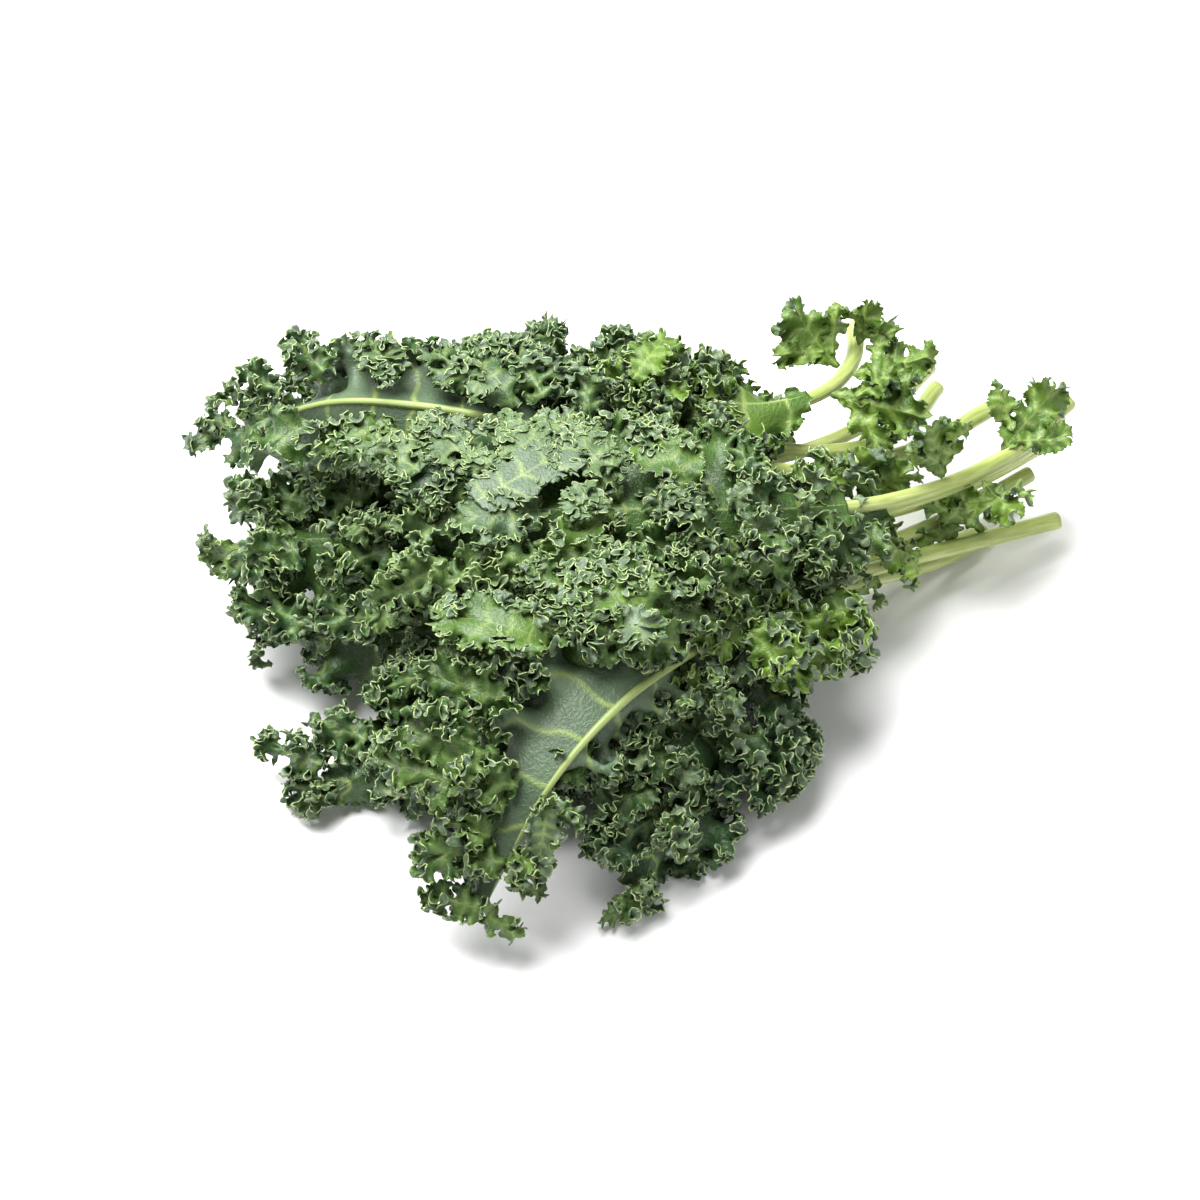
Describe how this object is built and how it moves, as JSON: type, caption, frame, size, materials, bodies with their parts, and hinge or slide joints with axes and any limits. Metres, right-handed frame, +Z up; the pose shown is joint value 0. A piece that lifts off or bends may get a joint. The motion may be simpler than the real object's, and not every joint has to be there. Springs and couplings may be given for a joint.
{
  "type": "bunch of curly kale",
  "caption": "Bunch of curly kale lying down: frilled green leaves fanned out from a loose sheaf of pale cut stalks.",
  "frame": {"origin": "under the middle of the bunch, on the surface it lies on", "axes": "+X towards the cut stalk ends, with the leaf tips at -X and -Y; +Y towards the back of the bunch; +Z up"},
  "size_m": [0.4558, 0.3746, 0.119],
  "materials": {
    "leaf": "satin",
    "stalk": "satin"
  },
  "bodies": {
    "root": {"leaf_centre_stalk": "stalk", "leaf_arch_stalk": "stalk", "leaf_front_stalk": "stalk", "leaf_centre_right_stalk": "stalk", "leaf_right_stalk": "stalk", "leaf_back_right_stalk": "stalk", "leaf_back_top_stalk": "stalk", "leaf_left_stalk": "stalk", "leaf_left_low_stalk": "stalk", "leaf_front_left_stalk": "stalk", "leaf_front_right_stalk": "stalk", "leaf_back_left_stalk": "stalk", "leaf_centre_blade": "leaf", "leaf_arch_blade": "leaf", "leaf_front_blade": "leaf", "leaf_centre_right_blade": "leaf", "leaf_right_blade": "leaf", "leaf_back_right_blade": "leaf", "leaf_back_top_blade": "leaf", "leaf_left_blade": "leaf", "leaf_left_low_blade": "leaf", "leaf_front_left_blade": "leaf", "leaf_front_right_blade": "leaf", "leaf_back_left_blade": "leaf", "leaflet_1": "leaf", "leaflet_2": "leaf", "leaflet_3": "leaf", "leaflet_4": "leaf", "leaflet_5": "leaf", "leaflet_6": "leaf", "leaflet_7": "leaf", "leaflet_8": "leaf", "leaflet_9": "leaf", "leaflet_10": "leaf", "leaflet_11": "leaf"}
  },
  "joints": []
}
